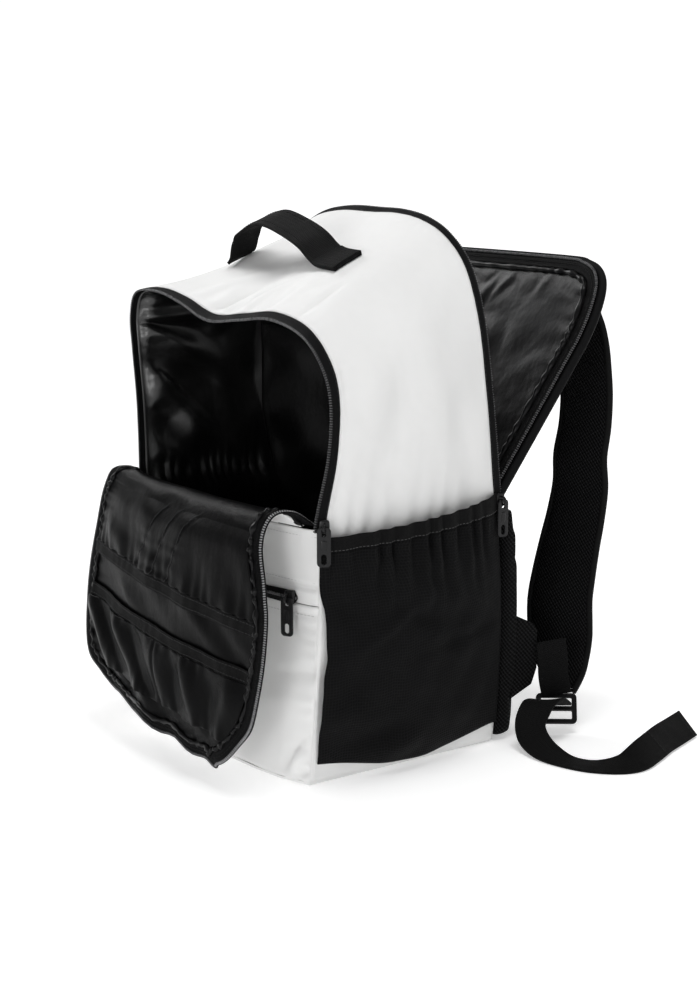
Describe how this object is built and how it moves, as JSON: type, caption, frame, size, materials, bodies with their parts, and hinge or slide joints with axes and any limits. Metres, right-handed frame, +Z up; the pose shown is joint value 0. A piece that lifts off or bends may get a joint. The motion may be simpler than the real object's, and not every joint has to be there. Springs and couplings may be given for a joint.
{
  "type": "school backpack",
  "caption": "Upright school backpack standing open: folded front flap, leaning padded rear panel, gathered side pockets, grab handle and shoulder straps.",
  "frame": {"origin": "centre of the flat underside, on the floor", "axes": "+Z up, -Y towards the front flap, +Y towards the shoulder straps, +X to the right seen from the front"},
  "size_m": [0.486, 0.3889, 0.4314],
  "materials": {
    "white_cloth": "matt",
    "black_satin": "sheen",
    "black_mesh_cloth": "matt",
    "black_webbing": "matt",
    "zip_cloth": "matt",
    "black_metal": "gloss",
    "black_plastic": "satin"
  },
  "bodies": {
    "bag": {"base_panel": "white_cloth", "gusset": "white_cloth", "lining": "black_satin", "divider": "black_satin", "front_pocket_panel": "white_cloth", "front_top_strip": "white_cloth", "pocket_zip_tape": "zip_cloth", "front_body_tape": "zip_cloth", "rear_body_tape": "zip_cloth", "front_flap_lining": "black_satin", "front_flap_shell": "white_cloth", "front_flap_tape": "zip_cloth", "pen_pocket": "black_satin", "pen_pocket_hem": "black_satin", "flap_pocket": "black_satin", "flap_pocket_hem": "black_satin", "rear_panel": "black_mesh_cloth", "rear_panel_lining": "black_satin", "rear_panel_tape": "zip_cloth", "lower_back_panel": "black_mesh_cloth", "side_pocket_right": "black_mesh_cloth", "side_pocket_left": "black_mesh_cloth", "side_pocket_hem_right": "black_webbing", "side_pocket_hem_left": "black_webbing", "grab_handle": "black_webbing", "shoulder_strap_right": "black_mesh_cloth", "shoulder_strap_left": "black_mesh_cloth", "wing_right": "black_mesh_cloth", "wing_left": "black_mesh_cloth", "lower_webbing_right": "black_webbing", "lower_webbing_left": "black_webbing", "ladder_lock_right": "black_plastic", "ladder_lock_left": "black_plastic", "webbing_tail_right": "black_webbing", "webbing_tail_left": "black_webbing", "front_slider": "black_metal", "rear_slider": "black_metal", "pocket_slider": "black_metal"},
    "front_pull": {"front_puller": "black_metal"},
    "rear_pull": {"rear_puller": "black_metal"},
    "pocket_pull": {"pocket_puller": "black_metal"}
  },
  "joints": [
    {"name": "front_puller_swing", "type": "hinge", "parent": "bag", "child": "front_pull", "pos_m": [0.13492, -0.09366, 0.205], "axis": [-0.6428, -0.766, 0], "range_deg": [0, 150]},
    {"name": "rear_puller_swing", "type": "hinge", "parent": "bag", "child": "rear_pull", "pos_m": [0.1322, 0.08305, 0.205], "axis": [0, -1, 0], "range_deg": [0, 150]},
    {"name": "pocket_puller_swing", "type": "hinge", "parent": "bag", "child": "pocket_pull", "pos_m": [0.10627, -0.10735, 0.1485], "axis": [-0.9135, -0.4067, 0], "range_deg": [0, 150]}
  ]
}
